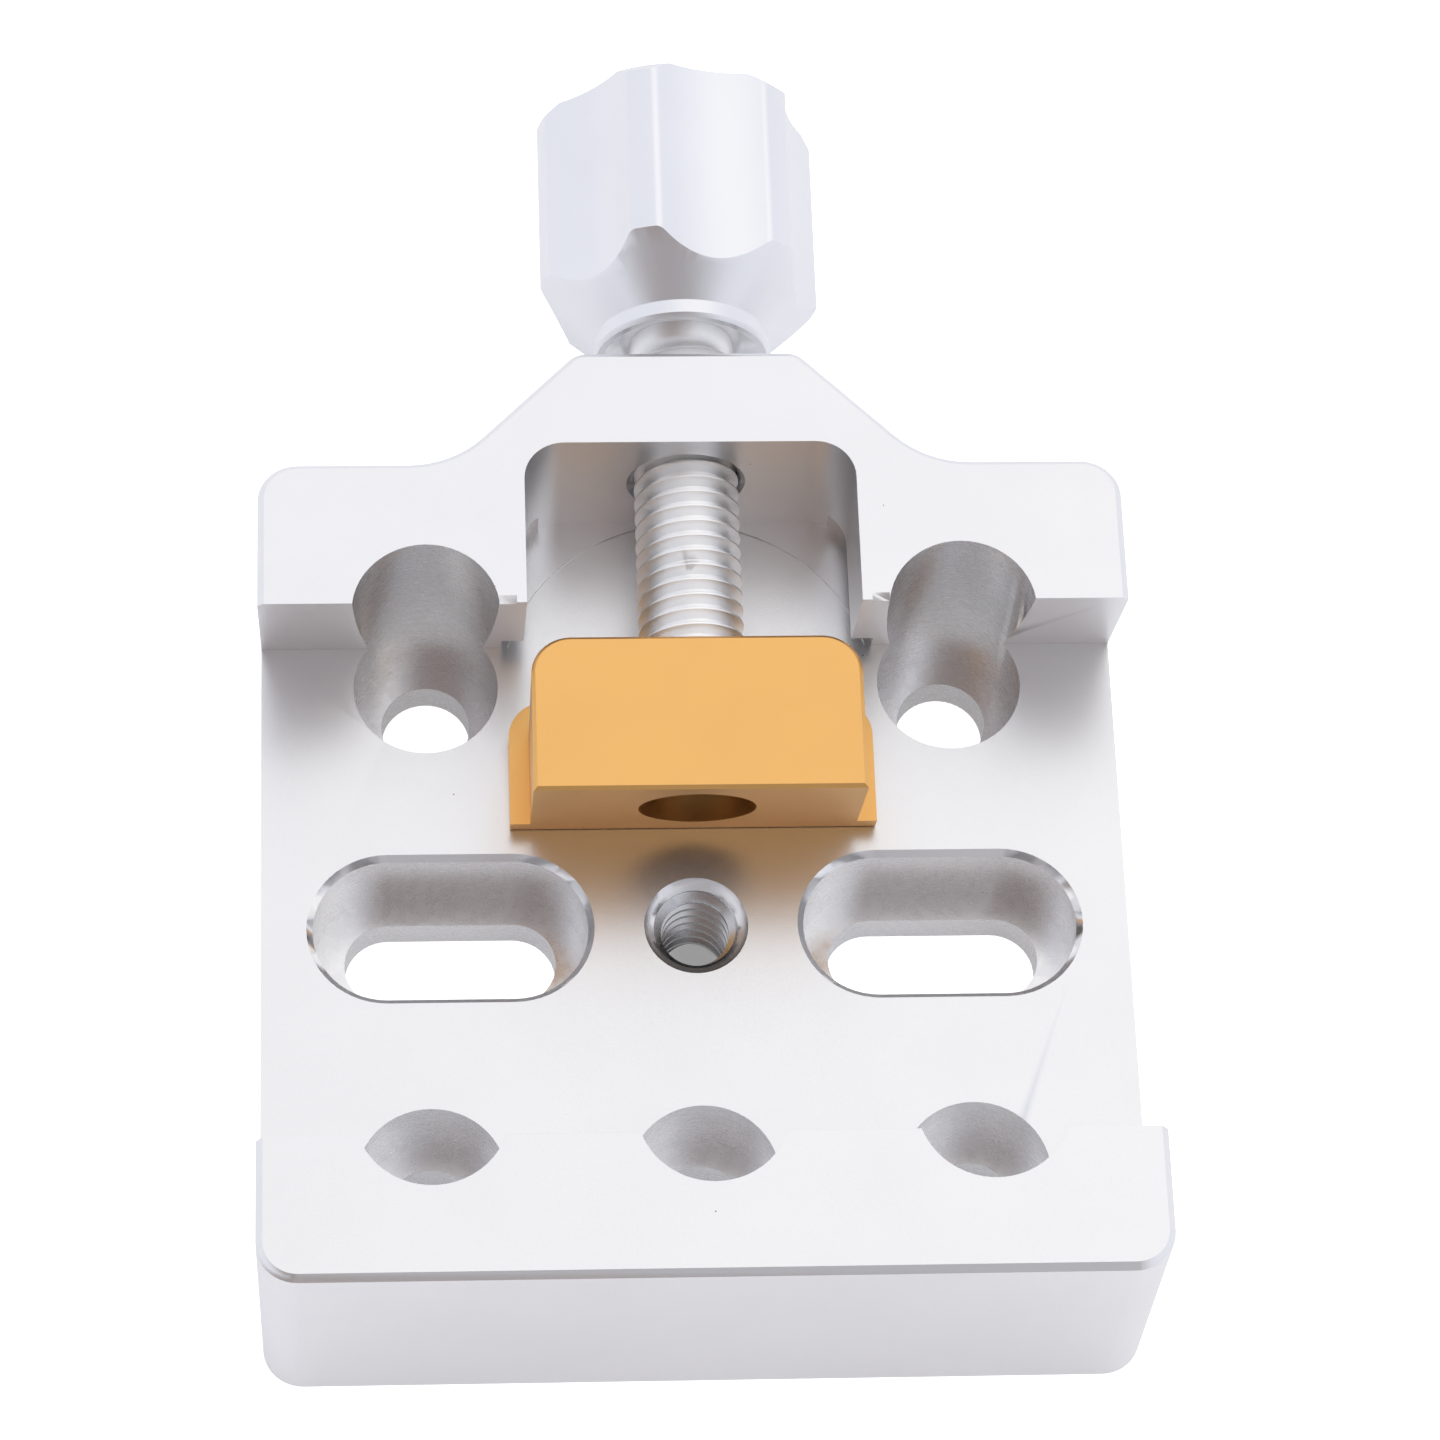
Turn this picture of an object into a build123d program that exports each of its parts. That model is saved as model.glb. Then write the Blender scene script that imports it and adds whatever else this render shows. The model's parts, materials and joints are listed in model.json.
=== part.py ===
"""Dovetail saddle clamp: a one-piece aluminium saddle with a screw-driven sliding jaw.

+X runs along the dovetail channel, +Y runs from the fixed jaw towards the knob, +Z is up.
The origin is on the underside, on the axis of the central tapped hole. Millimetres.
"""

from build123d import *
from math import cos, radians, sin, tan
import os

os.makedirs("parts", exist_ok=True)

# ---------------------------------------------------------------- driving dimensions
BODY_SIDE = 65.0
BODY_HEIGHT = 23.0
BODY_CORNER_R = 3.0
BODY_EDGE_BREAK = 0.5

FLOOR_TOP = 10.0
LEDGE_TOP = 3.0
JAW_UNDERCUT = 12.0
FIXED_JAW_EDGE_Y = -21.7
REAR_JAW_EDGE_Y = 20.6

BOSS_BACK_Y = 42.0
BOSS_HALF_WIDTH = 8.4
BOSS_ROOT_R = 8.0
BOSS_CORNER_R = 1.8

POCKET_HALF_WIDTH = 12.5
POCKET_BACK_Y = 34.1
POCKET_CORNER_R = 3.0
EAR_SLOT_HALF_WIDTH = 14.2
EAR_SLOT_BACK_Y = 33.6
EAR_SLOT_TOP = 12.0
CUTTER_MARK_R = 14.2
CUTTER_MARK_TOP_Y = 34.0
CUTTER_MARK_DEPTH = 0.15
JAW_NOTCH_DEPTH = 0.6
JAW_NOTCH_WIDTH = 1.3
JAW_NOTCH_X = 13.9

BOLT_PITCH = 40.0
BOLT_R = 3.4
BOLT_HEAD_R = 5.5

SLOT_CENTRE_X = 18.35
SLOT_WIDE_LENGTH = 20.6
SLOT_WIDE_R = 5.6
SLOT_LENGTH = 16.0
SLOT_R = 3.3
SLOT_BREAK = 0.45

TRIPOD_R = 3.175
TRIPOD_MOUTH_R = 3.9

SCREW_Z = 16.5
SCREW_R = 4.0
SCREW_FIT = 0.05
SCREW_SHOULDER_Y = 18.0
SCREW_END_Y = 60.0
NECK_R = 3.0
NECK_END_Y = 13.05

JAW_TOP = 22.8
JAW_BOTTOM = 10.1
JAW_FRONT_Y = 5.3
JAW_BACK_Y = 17.9
JAW_HALF_WIDTH = 12.3
JAW_CORNER_R = 3.0
JAW_EDGE_BREAK = 0.3
EAR_HALF_WIDTH = 13.8
EAR_TOP = 11.8
JAW_SINK_R = 4.4
JAW_WEB_Y = 13.2
JAW_BORE_R = 3.05

WASHER_R = 4.2
WASHER_THICKNESS = 0.8
CAP_HEAD_R = 3.8
CAP_HEAD_HEIGHT = 2.2
CAP_SHANK_R = 2.0
CAP_SHANK_LENGTH = 8.0
CAP_SOCKET_AF = 2.5

KNOB_FRONT_Y = 44.9
KNOB_END_Y = 65.5
KNOB_R = 11.0
KNOB_NOSE_R = 6.9
KNOB_NOSE_LENGTH = 1.4
KNOB_NOSE_BREAK = 0.3
KNOB_SHOULDER_Y = 50.5
KNOB_END_BREAK = 0.85
KNOB_LOBES = 6
KNOB_LOBE_ANGLE = -16.0
KNOB_LOBE_CORNER_R = 1.0
FLUTE_R = 12.5
FLUTE_DEPTH = 1.75
KNOB_SINK_R = 6.1
KNOB_SINK_DEPTH = 1.2
KNOB_BORE_R = 4.02
KNOB_BORE_END_Y = 60.3

GRUB_Y = 56.0
GRUB_R = 2.0
GRUB_FLUTE = 3
GRUB_TOP_R = 9.0
GRUB_SOCKET_AF = 2.0
GRUB_SOCKET_DEPTH = 2.0

# ---------------------------------------------------------------- values worked out
half_side = BODY_SIDE / 2
undercut_run = (BODY_HEIGHT - FLOOR_TOP) * tan(radians(JAW_UNDERCUT))
boss_root_half_width = BOSS_HALF_WIDTH + (BOSS_BACK_Y - half_side)
jaw_lean = (JAW_TOP - JAW_BOTTOM) * tan(radians(JAW_UNDERCUT))
bolt_reach = BOLT_PITCH / 2
bolt_centres = [(x, y) for x in (-bolt_reach, bolt_reach) for y in (-bolt_reach, bolt_reach)]
bolt_centres.append((0, -bolt_reach))
screw_axis = Axis((0, 0, SCREW_Z), (0, 1, 0))
side_plane = Plane.YZ
# Sketches on this plane are drawn as (Y, height above the screw axis).
turning_plane = Plane(origin=(0, 0, SCREW_Z), x_dir=(0, 1, 0), z_dir=(1, 0, 0))


def save(piece, name):
    piece.part.label = name
    export_step(piece.part, f"parts/{name}.step")
    print(name, "volume", round(piece.part.volume, 1), "solids", len(piece.part.solids()))


# ---------------------------------------------------------------- saddle body
with BuildPart() as saddle_body:
    with BuildSketch():
        Rectangle(BODY_SIDE, BODY_SIDE)
        with BuildLine():
            Polyline(
                (-boss_root_half_width, half_side),
                (-BOSS_HALF_WIDTH, BOSS_BACK_Y),
                (BOSS_HALF_WIDTH, BOSS_BACK_Y),
                (boss_root_half_width, half_side),
                (boss_root_half_width, half_side - 1),
                (-boss_root_half_width, half_side - 1),
                close=True,
            )
        make_face()
    extrude(amount=BODY_HEIGHT)

    uprights = saddle_body.edges().filter_by(Axis.Z)
    fillet(uprights.filter_by(lambda e: abs(e.center().X) > half_side - 1), BODY_CORNER_R)
    uprights = saddle_body.edges().filter_by(Axis.Z)
    fillet(
        uprights.filter_by(
            lambda e: abs(abs(e.center().X) - boss_root_half_width) < 0.1
            and abs(e.center().Y - half_side) < 0.1
        ),
        BOSS_ROOT_R,
    )
    uprights = saddle_body.edges().filter_by(Axis.Z)
    fillet(uprights.filter_by(lambda e: abs(e.center().Y - BOSS_BACK_Y) < 0.1), BOSS_CORNER_R)
    chamfer(saddle_body.faces().sort_by(Axis.Z)[-1].edges(), BODY_EDGE_BREAK)
    chamfer(saddle_body.faces().sort_by(Axis.Z)[0].edges(), BODY_EDGE_BREAK)

    # Dovetail channel with both walls leaning over it.
    with BuildSketch(side_plane):
        Polygon(
            (FIXED_JAW_EDGE_Y, BODY_HEIGHT),
            (FIXED_JAW_EDGE_Y - undercut_run, FLOOR_TOP),
            (REAR_JAW_EDGE_Y + undercut_run, FLOOR_TOP),
            (REAR_JAW_EDGE_Y, BODY_HEIGHT),
            align=None,
        )
    extrude(amount=BODY_SIDE, both=True, mode=Mode.SUBTRACT)

    # Pocket that the sliding jaw backs into, and the low slot for its ears.
    with BuildSketch(Plane.XY.offset(FLOOR_TOP)):
        with Locations((0, POCKET_BACK_Y)):
            RectangleRounded(2 * POCKET_HALF_WIDTH, 30, POCKET_CORNER_R, align=(Align.CENTER, Align.MAX))
    extrude(amount=BODY_HEIGHT, mode=Mode.SUBTRACT)
    with BuildSketch(Plane.XY.offset(FLOOR_TOP)):
        with Locations((0, EAR_SLOT_BACK_Y)):
            RectangleRounded(
                2 * EAR_SLOT_HALF_WIDTH, 20, POCKET_CORNER_R, align=(Align.CENTER, Align.MAX)
            )
    extrude(amount=EAR_SLOT_TOP - FLOOR_TOP, mode=Mode.SUBTRACT)

    # Shallow round-ended path left by the slot cutter in the pocket floor.
    with BuildSketch(Plane.XY.offset(FLOOR_TOP)):
        with Locations((0, CUTTER_MARK_TOP_Y - CUTTER_MARK_R)):
            Circle(CUTTER_MARK_R)
            Rectangle(2 * CUTTER_MARK_R, 2 * CUTTER_MARK_R, align=(Align.CENTER, Align.MAX))
        with Locations((0, REAR_JAW_EDGE_Y + undercut_run - BODY_SIDE / 2)):
            Rectangle(BODY_SIDE, BODY_SIDE, mode=Mode.SUBTRACT)
    extrude(amount=-CUTTER_MARK_DEPTH, mode=Mode.SUBTRACT)

    # Small bevelled notches in the top edge, one on each side of the pocket.
    for side in (-1, 1):
        with BuildSketch(side_plane.offset(side * JAW_NOTCH_X)):
            Polygon(
                (REAR_JAW_EDGE_Y - 1, BODY_HEIGHT),
                (REAR_JAW_EDGE_Y - 1, BODY_HEIGHT - JAW_NOTCH_DEPTH - 1),
                (REAR_JAW_EDGE_Y, BODY_HEIGHT - JAW_NOTCH_DEPTH),
                (REAR_JAW_EDGE_Y + JAW_NOTCH_DEPTH, BODY_HEIGHT),
                align=None,
            )
        extrude(amount=JAW_NOTCH_WIDTH / 2, both=True, mode=Mode.SUBTRACT)

    # Counterbored bolt holes, sunk from the top of the jaws.
    with BuildSketch(Plane.XY.offset(LEDGE_TOP)):
        with Locations(*bolt_centres):
            Circle(BOLT_HEAD_R)
    extrude(amount=BODY_HEIGHT, mode=Mode.SUBTRACT)
    with BuildSketch():
        with Locations(*bolt_centres):
            Circle(BOLT_R)
    extrude(amount=LEDGE_TOP, mode=Mode.SUBTRACT)

    # Counterbored slots.
    with BuildSketch(Plane.XY.offset(LEDGE_TOP)):
        with Locations((-SLOT_CENTRE_X, 0), (SLOT_CENTRE_X, 0)):
            SlotOverall(SLOT_WIDE_LENGTH, 2 * SLOT_WIDE_R)
    extrude(amount=BODY_HEIGHT, mode=Mode.SUBTRACT)
    with BuildSketch():
        with Locations((-SLOT_CENTRE_X, 0), (SLOT_CENTRE_X, 0)):
            SlotOverall(SLOT_LENGTH, 2 * SLOT_R)
    extrude(amount=LEDGE_TOP, mode=Mode.SUBTRACT)

    # Central tripod hole and the tapped hole for the clamp screw.
    with BuildSketch(Plane.XY.offset(FLOOR_TOP)):
        Circle(TRIPOD_R)
    extrude(amount=-FLOOR_TOP, mode=Mode.SUBTRACT)
    with BuildSketch(Plane.XZ.offset(-BOSS_BACK_Y)):
        with Locations((0, SCREW_Z)):
            Circle(SCREW_R + SCREW_FIT)
    extrude(amount=BOSS_BACK_Y - POCKET_BACK_Y + 1, mode=Mode.SUBTRACT)

    # Broken rims.
    floor_rims = saddle_body.edges().filter_by(
        lambda e: abs(e.center().Z - FLOOR_TOP) < 0.01
        and e.geom_type == GeomType.CIRCLE
        and abs(e.radius - TRIPOD_R) < 0.01
    )
    chamfer(floor_rims, TRIPOD_MOUTH_R - TRIPOD_R)
    slot_rims = saddle_body.edges().filter_by(
        lambda e: abs(e.center().Z - FLOOR_TOP) < 0.01
        and abs(e.center().Y) < SLOT_WIDE_R + 0.1
        and abs(e.center().X) > TRIPOD_MOUTH_R
        and abs(e.center().X) < SLOT_CENTRE_X + SLOT_WIDE_LENGTH / 2
    )
    chamfer(slot_rims, SLOT_BREAK)
    screw_mouths = saddle_body.edges().filter_by(
        lambda e: e.geom_type == GeomType.CIRCLE and abs(e.radius - SCREW_R - SCREW_FIT) < 0.01
    )
    chamfer(screw_mouths, 0.5)

save(saddle_body, "saddle_body")

# ---------------------------------------------------------------- sliding jaw
with BuildPart() as clamp_jaw:
    jaw_depth = JAW_BACK_Y - JAW_FRONT_Y
    for half_width, top in ((JAW_HALF_WIDTH, JAW_TOP), (EAR_HALF_WIDTH, EAR_TOP)):
        with BuildSketch(Plane.XY.offset(JAW_BOTTOM)):
            with Locations((0, JAW_BACK_Y)):
                Rectangle(2 * half_width, jaw_depth, align=(Align.CENTER, Align.MAX))
            fillet(vertices().group_by(Axis.Y)[-1], JAW_CORNER_R)
        extrude(amount=top - JAW_BOTTOM)
    # The front face leans back towards its foot, parallel to the side of the dovetail bar.
    with BuildSketch(side_plane):
        Polygon(
            (JAW_FRONT_Y, JAW_TOP),
            (JAW_FRONT_Y + jaw_lean, JAW_BOTTOM),
            (JAW_FRONT_Y - 5, JAW_BOTTOM),
            (JAW_FRONT_Y - 5, JAW_TOP),
            align=None,
        )
    extrude(amount=2 * EAR_HALF_WIDTH, both=True, mode=Mode.SUBTRACT)
    chamfer(clamp_jaw.faces().sort_by(Axis.Z)[-1].edges(), JAW_EDGE_BREAK)
    with BuildSketch(Plane.XZ.offset(-JAW_BACK_Y)):
        with Locations((0, SCREW_Z)):
            Circle(JAW_BORE_R)
    extrude(amount=jaw_depth, mode=Mode.SUBTRACT)
    with BuildSketch(Plane.XZ.offset(-JAW_WEB_Y)):
        with Locations((0, SCREW_Z)):
            Circle(JAW_SINK_R)
    extrude(amount=jaw_depth, mode=Mode.SUBTRACT)

save(clamp_jaw, "clamp_jaw")

# ---------------------------------------------------------------- clamp screw
with BuildPart() as clamp_screw:
    with BuildSketch(turning_plane):
        Polygon(
            (NECK_END_Y, 0),
            (NECK_END_Y, NECK_R - 0.3),
            (NECK_END_Y + 0.3, NECK_R),
            (SCREW_SHOULDER_Y, NECK_R),
            (SCREW_SHOULDER_Y, SCREW_R - 0.5),
            (SCREW_SHOULDER_Y + 0.5, SCREW_R),
            (SCREW_END_Y - 0.8, SCREW_R),
            (SCREW_END_Y, SCREW_R - 0.8),
            (SCREW_END_Y, 0),
            align=None,
        )
    revolve(axis=screw_axis)
    with BuildSketch(Plane.XZ.offset(-NECK_END_Y)):
        with Locations((0, SCREW_Z)):
            Circle(CAP_SHANK_R + 0.02)
    extrude(amount=-(CAP_SHANK_LENGTH - WASHER_THICKNESS + 0.5), mode=Mode.SUBTRACT)

save(clamp_screw, "clamp_screw")

# ---------------------------------------------------------------- retaining washer and cap screw
with BuildPart() as jaw_retaining_washer:
    with BuildSketch(Plane.XZ.offset(-NECK_END_Y)):
        with Locations((0, SCREW_Z)):
            Circle(WASHER_R)
            Circle(CAP_SHANK_R + 0.02, mode=Mode.SUBTRACT)
    extrude(amount=WASHER_THICKNESS)

save(jaw_retaining_washer, "jaw_retaining_washer")

cap_seat_y = NECK_END_Y - WASHER_THICKNESS
with BuildPart() as jaw_retaining_screw:
    with BuildSketch(turning_plane):
        with BuildLine():
            Polyline(
                (cap_seat_y - CAP_HEAD_HEIGHT, 0),
                (cap_seat_y - CAP_HEAD_HEIGHT, CAP_HEAD_R * 0.55),
            )
            ThreePointArc(
                (cap_seat_y - CAP_HEAD_HEIGHT, CAP_HEAD_R * 0.55),
                (cap_seat_y - CAP_HEAD_HEIGHT * 0.62, CAP_HEAD_R * 0.87),
                (cap_seat_y - 0.3, CAP_HEAD_R),
            )
            Polyline(
                (cap_seat_y - 0.3, CAP_HEAD_R),
                (cap_seat_y, CAP_HEAD_R),
                (cap_seat_y, CAP_SHANK_R),
                (cap_seat_y + CAP_SHANK_LENGTH, CAP_SHANK_R),
                (cap_seat_y + CAP_SHANK_LENGTH, 0),
                (cap_seat_y - CAP_HEAD_HEIGHT, 0),
            )
        make_face()
    revolve(axis=screw_axis)
    with BuildSketch(Plane.XZ.offset(-(cap_seat_y - CAP_HEAD_HEIGHT))):
        with Locations((0, SCREW_Z)):
            RegularPolygon(CAP_SOCKET_AF / 2, 6, major_radius=False)
    extrude(amount=-1.3, mode=Mode.SUBTRACT)

save(jaw_retaining_screw, "jaw_retaining_screw")

# ---------------------------------------------------------------- knob
flute_step = 360 / KNOB_LOBES
flute_reach = KNOB_R - FLUTE_DEPTH + FLUTE_R
flute_angles = [KNOB_LOBE_ANGLE + flute_step * (i + 0.5) for i in range(KNOB_LOBES)]


def across_knob(angle, reach):
    """Point at an angle from straight up, turning towards +X, in the knob's cross-section."""
    return (reach * sin(radians(angle)), SCREW_Z + reach * cos(radians(angle)))


# The cone and the bevel at the far end run past the lobes, so that they cut the lobes cleanly.
knob_over_r = KNOB_R + 1
cone_slope = (KNOB_SHOULDER_Y - KNOB_FRONT_Y - KNOB_NOSE_LENGTH) / (KNOB_R - KNOB_NOSE_R)

with BuildPart() as knob:
    with BuildSketch(Plane.XZ.offset(-KNOB_FRONT_Y)):
        with Locations((0, SCREW_Z)):
            Circle(KNOB_R)
        with Locations(*[across_knob(angle, flute_reach) for angle in flute_angles]):
            Circle(FLUTE_R, mode=Mode.SUBTRACT)
        fillet(vertices(), KNOB_LOBE_CORNER_R)
    extrude(amount=KNOB_FRONT_Y - KNOB_END_Y)
    with BuildSketch(turning_plane):
        Polygon(
            (KNOB_FRONT_Y, KNOB_SINK_R),
            (KNOB_FRONT_Y, KNOB_NOSE_R - KNOB_NOSE_BREAK),
            (KNOB_FRONT_Y + KNOB_NOSE_BREAK, KNOB_NOSE_R),
            (KNOB_FRONT_Y + KNOB_NOSE_LENGTH, KNOB_NOSE_R),
            (KNOB_SHOULDER_Y + cone_slope, knob_over_r),
            (KNOB_END_Y - KNOB_END_BREAK - 1, knob_over_r),
            (KNOB_END_Y, KNOB_R - KNOB_END_BREAK),
            (KNOB_END_Y, 0),
            (KNOB_BORE_END_Y, 0),
            (KNOB_BORE_END_Y, KNOB_BORE_R),
            (KNOB_FRONT_Y + KNOB_SINK_DEPTH, KNOB_BORE_R),
            align=None,
        )
    revolve(axis=screw_axis, mode=Mode.INTERSECT)
    grub_angle = flute_angles[GRUB_FLUTE]
    grub_direction = Vector(sin(radians(grub_angle)), 0, cos(radians(grub_angle)))
    grub_seat = Plane(
        origin=Vector(0, GRUB_Y, SCREW_Z) + grub_direction * SCREW_R,
        x_dir=(0, 1, 0),
        z_dir=grub_direction,
    )
    with BuildSketch(grub_seat):
        Circle(GRUB_R + 0.02)
    extrude(amount=KNOB_R, mode=Mode.SUBTRACT)

save(knob, "knob")

# ---------------------------------------------------------------- knob set screw
with BuildPart() as knob_set_screw:
    with BuildSketch(grub_seat.offset(0.05)):
        Circle(GRUB_R)
    extrude(amount=GRUB_TOP_R - SCREW_R - 0.05)
    chamfer(knob_set_screw.edges().filter_by(GeomType.CIRCLE), 0.3)
    with BuildSketch(grub_seat.offset(GRUB_TOP_R - SCREW_R)):
        RegularPolygon(GRUB_SOCKET_AF / 2, 6, major_radius=False)
    extrude(amount=-GRUB_SOCKET_DEPTH, mode=Mode.SUBTRACT)

save(knob_set_screw, "knob_set_screw")
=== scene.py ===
# %% [markdown]
# # A dovetail saddle clamp
# The clamp holds a dovetail bar. A square aluminium saddle has a channel with leaning walls, and a
# gold-coloured jaw slides across it when a fluted knob turns the clamp screw. This lesson takes the exact
# parts as they were drawn, gives their edges the small breaks that a real part has, cuts the screw threads,
# and then finishes every piece with its own metal.

# %% Load the parts
import bpy
import json
from math import cos, pi, radians, sin, tan
from mathutils import Matrix, Vector


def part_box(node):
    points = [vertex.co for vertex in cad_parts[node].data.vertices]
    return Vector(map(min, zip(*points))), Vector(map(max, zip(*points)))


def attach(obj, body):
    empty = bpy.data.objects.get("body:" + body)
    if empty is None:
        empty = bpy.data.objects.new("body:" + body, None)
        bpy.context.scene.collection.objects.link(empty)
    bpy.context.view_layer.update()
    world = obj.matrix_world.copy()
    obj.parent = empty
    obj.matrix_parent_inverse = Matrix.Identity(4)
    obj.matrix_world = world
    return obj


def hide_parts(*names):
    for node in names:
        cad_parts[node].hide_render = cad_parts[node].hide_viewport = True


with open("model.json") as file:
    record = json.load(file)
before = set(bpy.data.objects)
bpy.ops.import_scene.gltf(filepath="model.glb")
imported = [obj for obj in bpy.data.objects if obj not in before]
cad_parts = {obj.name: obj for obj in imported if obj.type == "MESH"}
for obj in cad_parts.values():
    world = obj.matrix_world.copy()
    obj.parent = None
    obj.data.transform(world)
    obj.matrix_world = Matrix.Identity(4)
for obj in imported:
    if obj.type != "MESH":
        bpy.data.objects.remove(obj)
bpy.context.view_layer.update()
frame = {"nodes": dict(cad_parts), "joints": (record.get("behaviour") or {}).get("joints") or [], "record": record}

print("nodes:", ", ".join(sorted(frame["nodes"])))

# %% [markdown]
# ## Sizes to work from
# Everything is in metres. The places come from the parts themselves: the box of a node says where its faces
# are, and the record says where the screw's axis and the holes are. Thread proportions are given as numbers,
# because a thread standard fixes them, and so are the small widths of edges and corners.

# %% Sizes
MM = 0.001

turning_joint = next(j for j in frame["joints"] if j["name"] == "screw_turn")
screw_axis_height = turning_joint["pos_m"][2]
tripod_mount = next(m for m in frame["record"]["mounts"] if m["name"] == "tripod_thread")
tripod_radius = tripod_mount["dims"]["r_mm"] * MM
tripod_depth = tripod_mount["dims"]["length_mm"] * MM

screw_low, screw_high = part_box("clamp_screw")
jaw_low, jaw_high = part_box("clamp_jaw")
knob_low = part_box("knob")[0]
screw_radius = (screw_high.x - screw_low.x) / 2
print("screw radius in mm:", round(screw_radius / MM, 3), "axis height in mm:", screw_axis_height / MM)

# %% [markdown]
# ## Small helpers
# An operator acts on everything that is selected, so each helper first clears the selection and then picks
# exactly one piece. Faces and edges are picked by their place, never by their number.


# %% Selecting helpers
def only(piece):
    """Select one piece and make it the active one."""
    if bpy.context.object and bpy.context.object.mode != "OBJECT":
        bpy.ops.object.mode_set(mode="OBJECT")
    bpy.ops.object.select_all(action="DESELECT")
    piece.select_set(True)
    bpy.context.view_layer.objects.active = piece


def edit(piece, kind="VERT"):
    only(piece)
    bpy.ops.object.mode_set(mode="EDIT")
    bpy.ops.mesh.select_mode(type=kind)


def object_mode():
    bpy.ops.object.mode_set(mode="OBJECT")


def settle(piece):
    """Move a piece's place, turn and scale into its mesh, so that its object sits at the origin."""
    only(piece)
    bpy.ops.object.transform_apply(location=True, rotation=True, scale=True)


def apply_modifiers(piece):
    only(piece)
    for modifier in list(piece.modifiers):
        bpy.ops.object.modifier_apply(modifier=modifier.name)


def outward(piece):
    edit(piece)
    bpy.ops.mesh.select_all(action="SELECT")
    bpy.ops.mesh.normals_make_consistent(inside=False)
    object_mode()


# %% [markdown]
# ## From a drawn part to a finished piece
# A drawn part comes as loose triangles. A copy of it is merged into one skin, its flat faces are cleaned of
# spare edges, and its sharp edges get a tiny bevel, because no machined edge is perfectly sharp and the thin
# bright line along it is what the eye reads as metal. Overlap is clamped, so where the edges round a hole are
# very short little of a bevel is left. Smooth shading stops at the bevels, so the flats stay flat.


# %% Copying and breaking edges
def skin_of(node, name):
    """A merged copy of a drawn part."""
    piece = bpy.data.objects.new(name, frame["nodes"][node].data.copy())
    bpy.context.scene.collection.objects.link(piece)
    edit(piece)
    bpy.ops.mesh.select_all(action="SELECT")
    bpy.ops.mesh.remove_doubles(threshold=0.001 * MM)
    bpy.ops.mesh.dissolve_limited(angle_limit=radians(0.2), delimit={"NORMAL"})
    object_mode()
    return piece


def break_edges(piece, width, sharper_than=30.0, segments=2):
    edit(piece, "EDGE")
    bpy.ops.mesh.select_all(action="DESELECT")
    bpy.ops.mesh.edges_select_sharp(sharpness=radians(sharper_than))
    bpy.ops.mesh.bevel(offset=width, segments=segments, affect="EDGES", clamp_overlap=True)
    object_mode()


def bevel_where(piece, belongs, width, segments=1):
    """Bevel the sharp edges whose two ends both pass the test."""
    edit(piece, "EDGE")
    bpy.ops.mesh.select_all(action="DESELECT")
    bpy.ops.mesh.edges_select_sharp(sharpness=radians(30))
    object_mode()
    points = piece.data.vertices
    for edge in piece.data.edges:
        edge.select = edge.select and all(belongs(points[i].co) for i in edge.vertices)
    edit(piece, "EDGE")
    bpy.ops.mesh.bevel(offset=width, segments=segments, affect="EDGES", clamp_overlap=True)
    object_mode()


def smooth_flats(piece, angle=35.0):
    only(piece)
    bpy.ops.object.shade_smooth_by_angle(angle=radians(angle))
    weighted = piece.modifiers.new("flat faces keep their normals", "WEIGHTED_NORMAL")
    weighted.keep_sharp = True
    weighted.weight = 100
    apply_modifiers(piece)


# %% [markdown]
# ## Metals
# Every piece is bare metal or anodised metal, so all finishes are one recipe with different numbers: a
# metallic surface, a fine grain from bead blasting or turning that moves both the gloss and the surface, and
# a slow drift of tone over the whole piece. The grain is measured in millimetres on the object itself.


# %% Metal recipe
DRIFT_SIZE = 9 * MM
PIT_SPACING = 5 * MM


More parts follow.
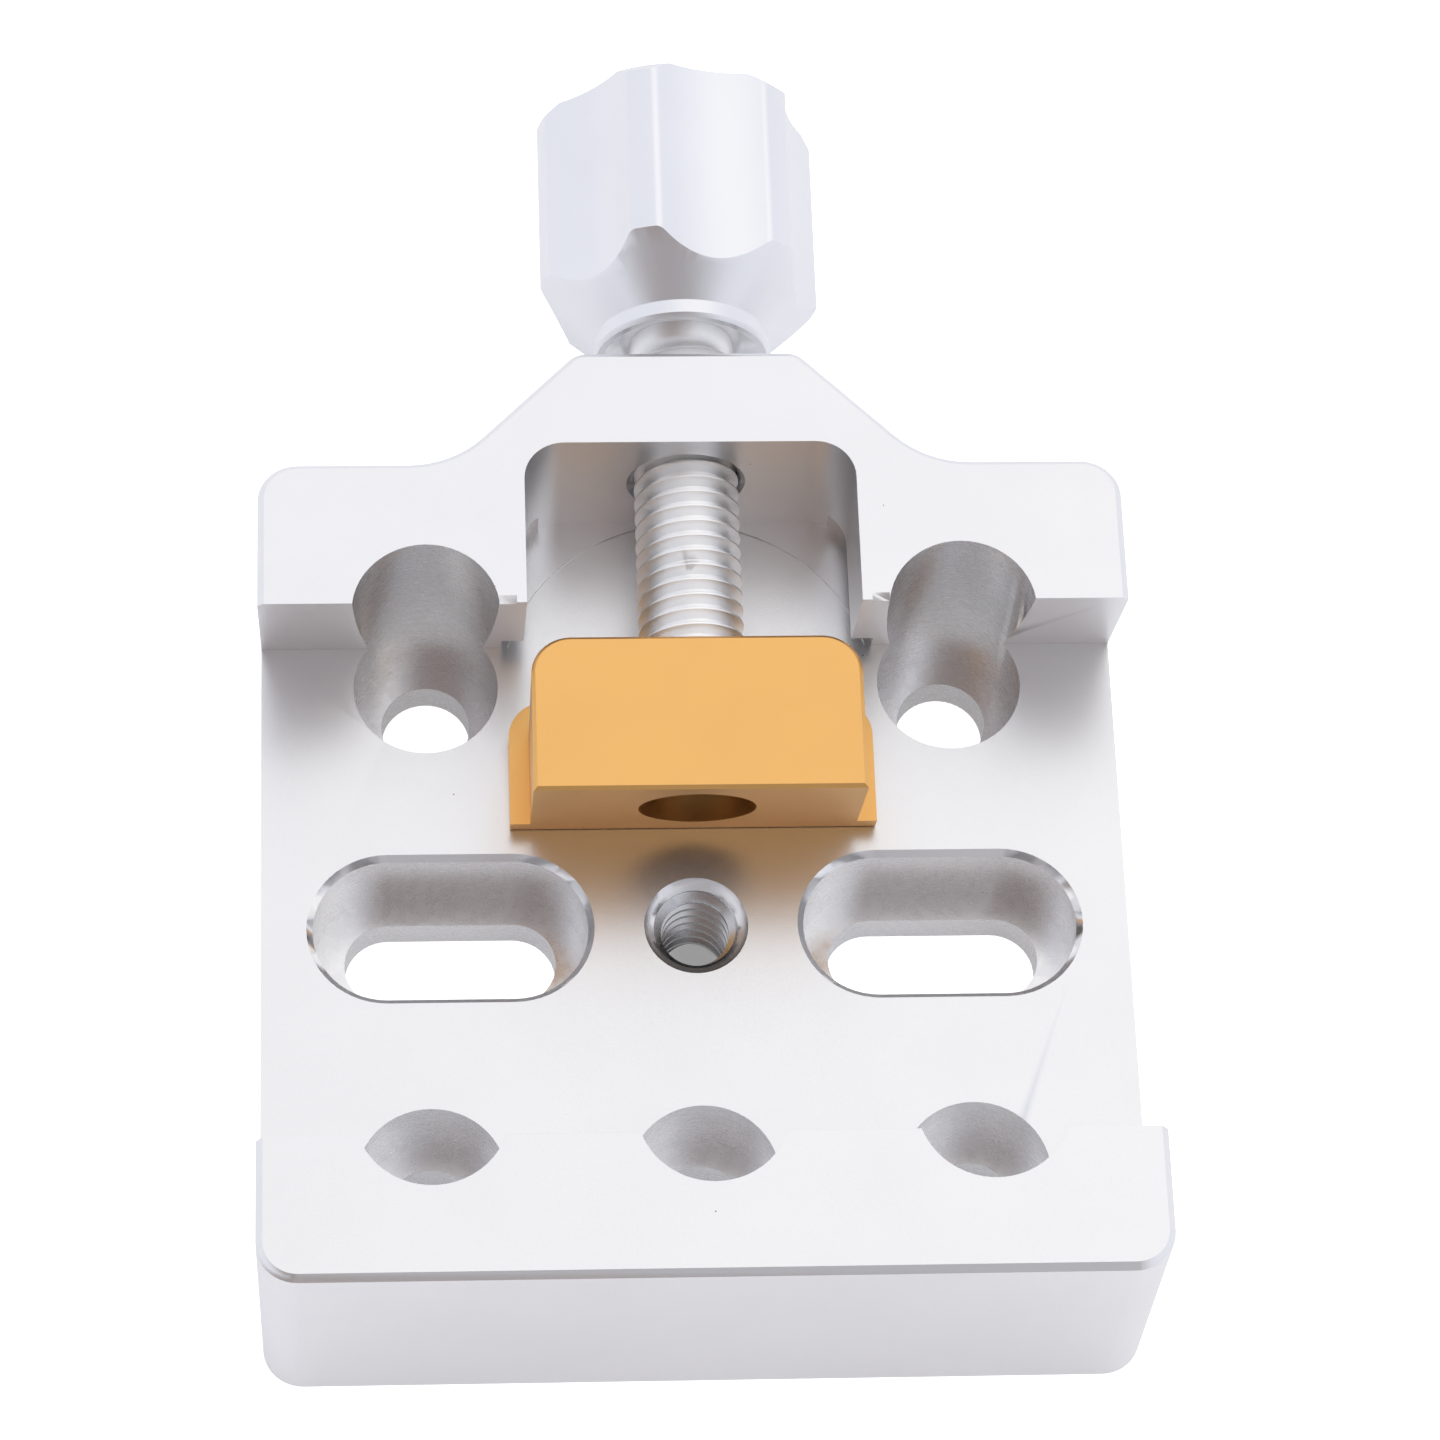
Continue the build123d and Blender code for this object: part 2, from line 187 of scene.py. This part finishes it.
def metal(
    name, colour, gloss_low, gloss_high, grain_mm, grain_height_mm, tint=0.03, pits=0.0, stretch=(1, 1, 1)
):
    """A metal whose roughness runs from gloss_low to gloss_high over its grain.

    tint is how far the tone drifts. pits is the size of dark specks, in cells of 5 mm. stretch squeezes the
    grain along each axis, which turns it into tool marks.
    """
    material = bpy.data.materials.new(name)
    material.use_nodes = True
    nodes, links = material.node_tree.nodes, material.node_tree.links
    shader = nodes["Principled BSDF"]
    shader.inputs["Metallic"].default_value = 1.0

    place = nodes.new("ShaderNodeTexCoord").outputs["Object"]

    grain = nodes.new("ShaderNodeTexNoise")
    grain.inputs["Scale"].default_value = 1 / (grain_mm * MM)
    grain.inputs["Detail"].default_value = 2.0
    squeeze = nodes.new("ShaderNodeMapping")
    squeeze.inputs["Scale"].default_value = stretch
    links.new(place, squeeze.inputs["Vector"])
    links.new(squeeze.outputs["Vector"], grain.inputs["Vector"])

    gloss = nodes.new("ShaderNodeMapRange")
    gloss.inputs["From Min"].default_value = 0.3
    gloss.inputs["From Max"].default_value = 0.7
    gloss.inputs["To Min"].default_value = gloss_low
    gloss.inputs["To Max"].default_value = gloss_high
    links.new(grain.outputs["Fac"], gloss.inputs["Value"])
    links.new(gloss.outputs["Result"], shader.inputs["Roughness"])

    relief = nodes.new("ShaderNodeBump")
    relief.inputs["Distance"].default_value = grain_height_mm * MM
    links.new(grain.outputs["Fac"], relief.inputs["Height"])
    links.new(relief.outputs["Normal"], shader.inputs["Normal"])

    drift = nodes.new("ShaderNodeTexNoise")
    drift.inputs["Scale"].default_value = 1 / DRIFT_SIZE
    drift.inputs["Detail"].default_value = 3.0
    links.new(place, drift.inputs["Vector"])
    tone = nodes.new("ShaderNodeValToRGB")
    tone.color_ramp.elements[0].position = 0.3
    tone.color_ramp.elements[1].position = 0.7
    tone.color_ramp.elements[0].color = [c * (1 - tint) for c in colour] + [1]
    tone.color_ramp.elements[1].color = [min(1, c * (1 + tint)) for c in colour] + [1]
    links.new(drift.outputs["Fac"], tone.inputs["Fac"])
    surface_colour = tone.outputs["Color"]

    if pits:
        cells = nodes.new("ShaderNodeTexVoronoi")
        cells.inputs["Scale"].default_value = 1 / PIT_SPACING
        links.new(place, cells.inputs["Vector"])
        spot = nodes.new("ShaderNodeMath")
        spot.operation = "LESS_THAN"
        spot.inputs[1].default_value = pits
        links.new(cells.outputs["Distance"], spot.inputs[0])
        speck = nodes.new("ShaderNodeMix")
        speck.data_type = "RGBA"
        links.new(spot.outputs["Value"], speck.inputs["Factor"])
        links.new(surface_colour, speck.inputs[6])
        speck.inputs[7].default_value = (0.12, 0.12, 0.13, 1)
        surface_colour = speck.outputs[2]
    links.new(surface_colour, shader.inputs["Base Color"])
    return material


def finish(piece, material):
    piece.data.materials.clear()
    piece.data.materials.append(material)


# %% The metals of this clamp
blasted_silver = metal("bead-blasted silver", (0.84, 0.84, 0.85), 0.30, 0.40, 0.13, 0.008, 0.012, 0.012)
knob_silver = metal("satin knob silver", (0.84, 0.845, 0.87), 0.28, 0.36, 0.12, 0.003, 0.012)
turned_silver = metal("turned bright silver", (0.84, 0.84, 0.85), 0.18, 0.26, 0.10, 0.001)
milled_silver = metal("milled silver", (0.82, 0.82, 0.83), 0.24, 0.32, 0.8, 0.0015, 0.015, stretch=(1, 1, 5))
# The thread hole's silver is darker than the saddle's: painted shade of the small deep hole.
shade_painted_thread_silver = metal("thread silver with painted shade", (0.55, 0.55, 0.56), 0.20, 0.30, 0.10, 0.002)
# The fillet silver is rougher, which is real, and brighter than the saddle's, which is a painted highlight.
highlight_painted_silver = metal("rough silver with painted highlight", (0.96, 0.96, 0.97), 0.55, 0.65, 0.12, 0.002)
anodised_gold = metal("satin anodised gold", (0.85, 0.485, 0.165), 0.32, 0.42, 0.10, 0.003, 0.02)
bright_zinc = metal("bright zinc plate", (0.96, 0.96, 0.96), 0.38, 0.48, 0.15, 0.002)
dark_steel = metal("dark steel", (0.30, 0.30, 0.31), 0.3, 0.4, 0.2, 0.002)

# %% [markdown]
# ## The saddle
# The saddle is one block of aluminium, milled and then bead blasted, which leaves an even pale satin skin and
# softens every edge. Its drawn shape is already exact, so it only needs its edges broken. The bolt holes ask
# for a wider break at the rim of each shank hole and a rounded corner at the foot of each wall, as an end
# mill leaves. The walls of the holes keep their tool marks. What the clamped bevels leave at their corners is
# rougher and has a brighter colour, a painted highlight, and the thread hole has a darker colour, painted shade.

# %% Where the holes are
corner_mount = next(m for m in frame["record"]["mounts"] if m["name"] == "corner_bolts")
slot_mount = next(m for m in frame["record"]["mounts"] if m["name"] == "slot_bolts")
middle_mount = next(m for m in frame["record"]["mounts"] if m["name"] == "front_middle_bolt")
bolt_x = corner_mount["dims"]["spacing_x_mm"] / 2 * MM
bolt_y = corner_mount["dims"]["spacing_y_mm"] / 2 * MM
slot_x = slot_mount["dims"]["spacing_x_mm"] / 2 * MM
slot_half_length = slot_mount["dims"]["slot_length_mm"] / 2 * MM + 0.1 * MM
slot_shank_reach = slot_mount["dims"]["hole_r_mm"] * MM + 0.1 * MM
shank_radius = corner_mount["dims"]["hole_r_mm"] * MM
ledge_height = middle_mount["dims"]["length_mm"] * MM
counterbore_reach = 5.6 * MM
slot_reach = 5.7 * MM
bolt_axes = [(-bolt_x, bolt_y), (bolt_x, bolt_y), (-bolt_x, -bolt_y), (0, -bolt_y), (bolt_x, -bolt_y)]


def from_bolt_axis(point):
    """Distance from a point to the nearest bolt axis."""
    return min(Vector((point.x - x, point.y - y)).length for x, y in bolt_axes)


def near_slot(point, reach):
    return abs(abs(point.x) - slot_x) < 2 * reach and abs(point.y) < reach


def on_ledge(point):
    return abs(point.z - ledge_height) < 0.02 * MM


def rim_of_shank_hole(point):
    """On a ledge, at the edge of a bolt's shank hole or of a slot's narrow part."""
    in_bolt = from_bolt_axis(point) < shank_radius + 0.1 * MM
    in_slot = near_slot(point, slot_shank_reach) and abs(abs(point.x) - slot_x) < slot_half_length
    return on_ledge(point) and (in_bolt or in_slot)


def foot_of_wall(point):
    """On a ledge, at its outer corner."""
    return on_ledge(point) and not rim_of_shank_hole(point)


# %% Saddle
floor_height = jaw_low.z - 0.1 * MM
saddle = skin_of("saddle_body", "saddle")
bevel_where(saddle, rim_of_shank_hole, 0.25 * MM)
bevel_where(saddle, foot_of_wall, 0.3 * MM, segments=3)
break_edges(saddle, 0.1 * MM)
smooth_flats(saddle)
finish(saddle, blasted_silver)
saddle.data.materials.append(milled_silver)
saddle.data.materials.append(shade_painted_thread_silver)
saddle.data.materials.append(highlight_painted_silver)
for face in saddle.data.polygons:
    by_a_ledge = abs(face.center.z - ledge_height) < 0.35 * MM and 0.1 < abs(face.normal.z) < 0.97
    flat_outside = abs(face.normal.z) > 0.9 and abs(face.center.z - ledge_height) > 0.5 * MM
    in_bolt_hole = from_bolt_axis(face.center) < counterbore_reach
    in_slot = near_slot(face.center, slot_reach) and face.center.z < floor_height - 0.5 * MM
    in_thread = Vector((face.center.x, face.center.y)).length < tripod_radius + 0.1 * MM
    # The thread hole's faces get the darker silver: painted shade.
    if in_thread and not flat_outside:
        face.material_index = 2
    # The fillets at the foot of the hole walls get the brighter silver: a painted highlight.
    elif by_a_ledge and (in_bolt_hole or in_slot):
        face.material_index = 3
    elif (in_bolt_hole or in_slot) and not flat_outside:
        face.material_index = 1
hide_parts("saddle_body")
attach(saddle, "saddle")
print("saddle faces:", len(saddle.data.polygons))

# %% [markdown]
# ## The tripod thread
# The middle hole has a quarter-inch thread of twenty turns to the inch. The thread is one ridge that climbs
# the wall as a helix. A single cross-section, four points, is wound up the hole with the Screw modifier,
# which is how a thread is made when only its section and pitch are known. The countersink then trims its
# first turn.


# %% Winding a ridge
FLANK_LEAN = tan(radians(30))
RIDGE_HEIGHT = 0.6
HALF_WIDTH_AT_FOOT = 0.44


def wound_ridge(name, section, pitch, turns, steps=48):
    """A closed ridge wound up +Z. section is four (radius, height) corners."""
    bpy.ops.object.select_all(action="DESELECT")
    bpy.ops.mesh.primitive_circle_add(vertices=4, radius=pitch)
    ridge = bpy.context.object
    ridge.name = name
    for corner, (radius, height) in zip(ridge.data.vertices, section):
        corner.co = (radius, 0, height)
    winding = ridge.modifiers.new("winding", "SCREW")
    winding.axis = "Z"
    winding.angle = 2 * pi
    winding.screw_offset = pitch
    winding.iterations = turns
    winding.steps = steps
    winding.render_steps = steps
    winding.use_merge_vertices = False
    winding.use_smooth_shade = False
    apply_modifiers(ridge)
    edit(ridge, "EDGE")
    bpy.ops.mesh.select_all(action="DESELECT")
    bpy.ops.mesh.select_non_manifold()
    bpy.ops.mesh.edge_face_add()
    object_mode()
    return ridge


# %% Tripod thread
INCH_PITCH = 25.4 / 20 * MM
thread_depth = RIDGE_HEIGHT * INCH_PITCH * cos(radians(30))
ridge_root = HALF_WIDTH_AT_FOOT * INCH_PITCH
ridge_crest = ridge_root - thread_depth * FLANK_LEAN
bury = 0.02 * MM
tripod_section = [
    (tripod_radius + bury, -ridge_root),
    (tripod_radius + bury, ridge_root),
    (tripod_radius - thread_depth, ridge_crest),
    (tripod_radius - thread_depth, -ridge_crest),
]
tripod_turns = int(tripod_depth / INCH_PITCH) + 3
tripod_thread = wound_ridge("tripod_thread", tripod_section, INCH_PITCH, tripod_turns)
tripod_thread.location.z = -1.5 * INCH_PITCH
settle(tripod_thread)
outward(tripod_thread)


# %% [markdown]
# The ridge is wound longer than the hole. A plug the shape of the hole, with the countersink's slope on its
# top, keeps only what lies inside: the boolean Intersect is the tool for that.


# %% Trimming with a plug
def plug(name, radius, low, high, top_reach=0.0):
    """A round plug along Z whose top narrows at 45 degrees, as a countersink leaves it."""
    bpy.ops.object.select_all(action="DESELECT")
    bpy.ops.mesh.primitive_cylinder_add(
        vertices=64, radius=radius, depth=high - low, location=(0, 0, (high + low) / 2)
    )
    tool = bpy.context.object
    tool.name = name
    settle(tool)
    if top_reach:
        edit(tool, "FACE")
        bpy.ops.mesh.select_all(action="DESELECT")
        object_mode()
        for face in tool.data.polygons:
            face.select = face.normal.z > 0.9
        edit(tool, "FACE")
        bpy.ops.mesh.inset(thickness=top_reach, depth=-top_reach)
        object_mode()
    return tool


def cut(piece, tool, how):
    knife = piece.modifiers.new(how.lower(), "BOOLEAN")
    knife.operation = how
    knife.object = tool
    knife.solver = "EXACT"
    apply_modifiers(piece)
    bpy.data.objects.remove(tool)


hole_plug = plug("hole_plug", tripod_radius + 2 * bury, 0.05 * MM, tripod_depth, 0.9 * MM)
cut(tripod_thread, hole_plug, "INTERSECT")
only(tripod_thread)
bpy.ops.object.shade_smooth_by_angle(angle=radians(30))
# The ridge gets the same darker silver: painted shade.
finish(tripod_thread, shade_painted_thread_silver)
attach(tripod_thread, "saddle")
print("tripod thread faces:", len(tripod_thread.data.polygons))

# %% [markdown]
# ## The sliding jaw
# The jaw is a small block with a leaning face, two low ears that run in a slot under the rear jaw, and a
# counterbored hole for the screw's end. It is anodised gold with a satin skin.

# %% Sliding jaw
jaw = skin_of("clamp_jaw", "sliding_jaw")
break_edges(jaw, 0.12 * MM)
smooth_flats(jaw)
finish(jaw, anodised_gold)
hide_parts("clamp_jaw")
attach(jaw, "jaw")

# %% [markdown]
# ## The clamp screw
# The screw is a metric M8 stud with a turned neck at the jaw's end. Its blank is the drawn part. The thread
# is cut as on a lathe: a tool with the groove's section is wound along the blank and taken away from it. The
# winding is made along Z and then laid along the screw's axis. It stops just before the knob, where the stud
# has a plain shank. Corners that the cut leaves on top of each other are then merged.

# %% Clamp screw
M8_PITCH = 1.25 * MM
groove_depth = RIDGE_HEIGHT * M8_PITCH
groove_mouth = HALF_WIDTH_AT_FOOT * M8_PITCH
groove_floor = groove_mouth - groove_depth * FLANK_LEAN
overshoot = 0.04 * MM
tool_section = [
    (screw_radius + overshoot, -groove_mouth - overshoot * FLANK_LEAN),
    (screw_radius + overshoot, groove_mouth + overshoot * FLANK_LEAN),
    (screw_radius - groove_depth, groove_floor),
    (screw_radius - groove_depth, -groove_floor),
]
shoulder_y = jaw_high.y
thread_end_y = knob_low.y - 0.5 * MM
thread_turns = int((thread_end_y - shoulder_y) / M8_PITCH)
groove_tool = wound_ridge("groove_tool", tool_section, M8_PITCH, thread_turns)
groove_tool.rotation_euler.x = radians(-90)
groove_tool.location = (0, shoulder_y + 0.6 * MM, screw_axis_height)
settle(groove_tool)
outward(groove_tool)

clamp_screw = skin_of("clamp_screw", "clamp_screw_threaded")
cut(clamp_screw, groove_tool, "DIFFERENCE")
edit(clamp_screw)
bpy.ops.mesh.select_all(action="SELECT")
bpy.ops.mesh.remove_doubles(threshold=0.004 * MM)
bpy.ops.mesh.dissolve_degenerate(threshold=0.004 * MM)
object_mode()
only(clamp_screw)
bpy.ops.object.shade_smooth_by_angle(angle=radians(30))
finish(clamp_screw, bright_zinc)
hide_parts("clamp_screw")
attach(clamp_screw, "screw")
print("screw faces:", len(clamp_screw.data.polygons))

# %% [markdown]
# ## The knob
# The knob is turned from bar, with a cone towards the screw, six wide flutes for the fingers, and a
# countersunk recess where the stud enters. The flutes meet the round lobes in crisp edges.

# %% Knob
grip = skin_of("knob", "fluted_knob")
break_edges(grip, 0.18 * MM, sharper_than=20.0)
smooth_flats(grip)
finish(grip, knob_silver)
grip.data.materials.append(turned_silver)
recess_reach = 6.2 * MM
for face in grip.data.polygons:
    off_axis = Vector((face.center.x, 0, face.center.z - screw_axis_height)).length
    if off_axis < recess_reach and face.center.y < knob_low.y + 2.5 * MM:
        face.material_index = 1
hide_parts("knob")
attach(grip, "screw")

# %% [markdown]
# ## Fixings
# Three small steel pieces hold the clamp together: a set screw in the knob, and a button-head screw with its
# washer inside the jaw. They get a finer edge break and a plain dark steel.

# %% Fixings
for node in ("knob_set_screw", "jaw_retaining_screw", "jaw_retaining_washer"):
    fixing = skin_of(node, node + "_finished")
    break_edges(fixing, 0.06 * MM)
    smooth_flats(fixing)
    finish(fixing, dark_steel)
    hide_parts(node)
    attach(fixing, "screw")

# %% [markdown]
# ## The table
# The clamp lies on a matt white table. Under the clamp the table is in shade, so the walls of the holes stay
# grey, as they are on the real one. A clean white outline needs one more thing: a thin white sheet on the
# table that only the camera sees. It has a small hole in the middle, so the thread hole keeps its dark
# bottom.


# %% Table
def matt_white(name, glow):
    white = bpy.data.materials.new(name)
    white.use_nodes = True
    shader = white.node_tree.nodes["Principled BSDF"]
    shader.inputs["Base Color"].default_value = (0.88, 0.88, 0.90, 1)
    shader.inputs["Roughness"].default_value = 1.0
    shader.inputs["Specular IOR Level"].default_value = 0.0
    shader.inputs["Emission Color"].default_value = (1, 1, 1, 1)
    shader.inputs["Emission Strength"].default_value = glow
    return white


bpy.ops.object.select_all(action="DESELECT")
bpy.ops.mesh.primitive_plane_add(size=4.0, location=(0, 0, -0.06 * MM))
table_top = bpy.context.object
table_top.name = "table_top"
table_top.data.materials.append(matt_white("matt white table", 0.24))

bpy.ops.object.select_all(action="DESELECT")
bpy.ops.mesh.primitive_circle_add(vertices=64, radius=4 * MM, location=(0, 0, -0.03 * MM))
clean_sheet = bpy.context.object
clean_sheet.name = "clean_sheet"
edit(clean_sheet, "EDGE")
bpy.ops.mesh.select_all(action="SELECT")
bpy.ops.mesh.extrude_edges_move()
bpy.ops.transform.resize(value=(500, 500, 1))
object_mode()
clean_sheet.data.materials.append(matt_white("clean white sheet", 1.0))
clean_sheet.visible_diffuse = False
clean_sheet.visible_glossy = False
clean_sheet.visible_transmission = False
clean_sheet.visible_shadow = False

# %% [markdown]
# ## Light
# Metal shows whatever stands around it, so the light is a whole surround, not a few lamps. The sky is a soft
# tent, a little lavender, which colours the knob and the upright faces. A broad white glow hangs overhead, a
# little to the right. In front stands the person at work, grey low down and a dark warm shape higher up: a
# wall and a floor that meet in a corner send the light straight back, so every inner corner shows that dark
# shape.

# %% Light
sky = bpy.data.worlds.new("light tent")
sky.use_nodes = True
tent, tent_links = sky.node_tree.nodes, sky.node_tree.links
outlook = tent.new("ShaderNodeTexCoord").outputs["Generated"]


def patch_of_sky(direction, inner, outer):
    """1 within inner degrees of a direction, fading to 0 at outer degrees."""
    along = tent.new("ShaderNodeVectorMath")
    along.operation = "DOT_PRODUCT"
    along.inputs[1].default_value = Vector(direction).normalized()
    tent_links.new(outlook, along.inputs[0])
    fade = tent.new("ShaderNodeMapRange")
    fade.interpolation_type = "SMOOTHSTEP"
    fade.inputs["From Min"].default_value = cos(radians(outer))
    fade.inputs["From Max"].default_value = cos(radians(inner))
    tent_links.new(along.outputs["Value"], fade.inputs["Value"])
    return fade.outputs["Result"]


def painted(under, patch, colour):
    """The tent's colour with a patch painted over it."""
    blend = tent.new("ShaderNodeMix")
    blend.data_type = "RGBA"
    tent_links.new(patch, blend.inputs["Factor"])
    if isinstance(under, tuple):
        blend.inputs[6].default_value = under
    else:
        tent_links.new(under, blend.inputs[6])
    blend.inputs[7].default_value = colour
    return blend.outputs[2]


lavender_tent = (0.91, 0.925, 0.99, 1)
glow_above = patch_of_sky((0.28, 0.22, 0.93), 6, 42)
legs_and_bench = patch_of_sky((-0.05, -0.92, 0.35), 8, 42)
head_and_hands = patch_of_sky((-0.26, -0.50, 0.83), 12, 42)
lit = painted(lavender_tent, glow_above, (1.16, 1.15, 1.15, 1))
shaded = painted(lit, legs_and_bench, (0.46, 0.46, 0.48, 1))
darkest = painted(shaded, head_and_hands, (0.32, 0.265, 0.25, 1))
tent_links.new(darkest, tent["Background"].inputs["Color"])
tent["Background"].inputs["Strength"].default_value = 1.0
bpy.context.scene.world = sky

# %% [markdown]
# ## Camera
# The camera looks steeply down from the front with a long lens, and is turned slightly about its own axis.

# %% Camera
VIEW_TURN = -7.781
VIEW_HEIGHT = 63.838
VIEW_ROLL = 6.479
VIEW_DISTANCE = 419.98 * MM
LENS = 137.78
aim = Vector((2.365, 17.068, 10.0)) * MM
turn, height, roll = radians(VIEW_TURN), radians(VIEW_HEIGHT), radians(VIEW_ROLL)
back = Vector((sin(turn) * cos(height), -cos(turn) * cos(height), sin(height)))
level = Vector((cos(turn), sin(turn), 0))
upright = back.cross(level)
right = level * cos(roll) + upright * sin(roll)
up = upright * cos(roll) - level * sin(roll)
eye = bpy.data.cameras.new("eye")
eye.lens = LENS
eye.sensor_width = 36
eye.clip_start = 0.01
camera = bpy.data.objects.new("eye", eye)
camera.matrix_world = Matrix(
    (
        (right.x, up.x, back.x, (aim + back * VIEW_DISTANCE).x),
        (right.y, up.y, back.y, (aim + back * VIEW_DISTANCE).y),
        (right.z, up.z, back.z, (aim + back * VIEW_DISTANCE).z),
        (0, 0, 0, 1),
    )
)
bpy.context.scene.collection.objects.link(camera)
bpy.context.scene.camera = camera
bpy.context.scene.view_settings.view_transform = "Standard"
